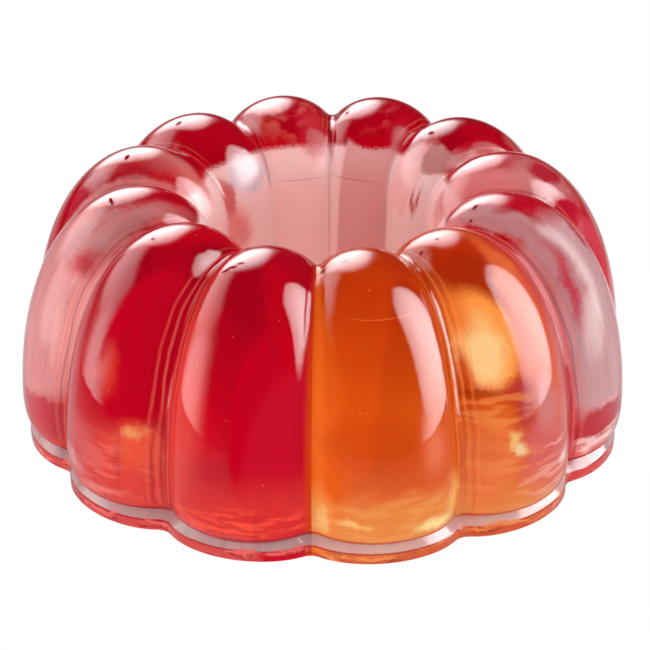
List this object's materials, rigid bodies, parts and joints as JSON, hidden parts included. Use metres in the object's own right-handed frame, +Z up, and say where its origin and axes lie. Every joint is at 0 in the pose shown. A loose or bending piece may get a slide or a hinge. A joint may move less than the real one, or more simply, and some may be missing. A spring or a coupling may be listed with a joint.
{
  "type": "moulded ring jelly",
  "caption": "Fluted ring of clear set jelly turned out of a mould, mostly red with an orange section, on a low stepped foot.",
  "frame": {"origin": "on the ring's axis, at the level of its flat base", "axes": "+Z up along the ring's axis, -Y towards the groove where the red jelly meets the orange, with the orange between -Y and +X"},
  "size_m": [0.1758, 0.1758, 0.0775],
  "materials": {
    "red_jelly": "clear, wet and glossy",
    "orange_jelly": "clear, wet and glossy"
  },
  "bodies": {
    "root": {"red_jelly": "red_jelly", "orange_jelly": "orange_jelly"}
  },
  "joints": []
}
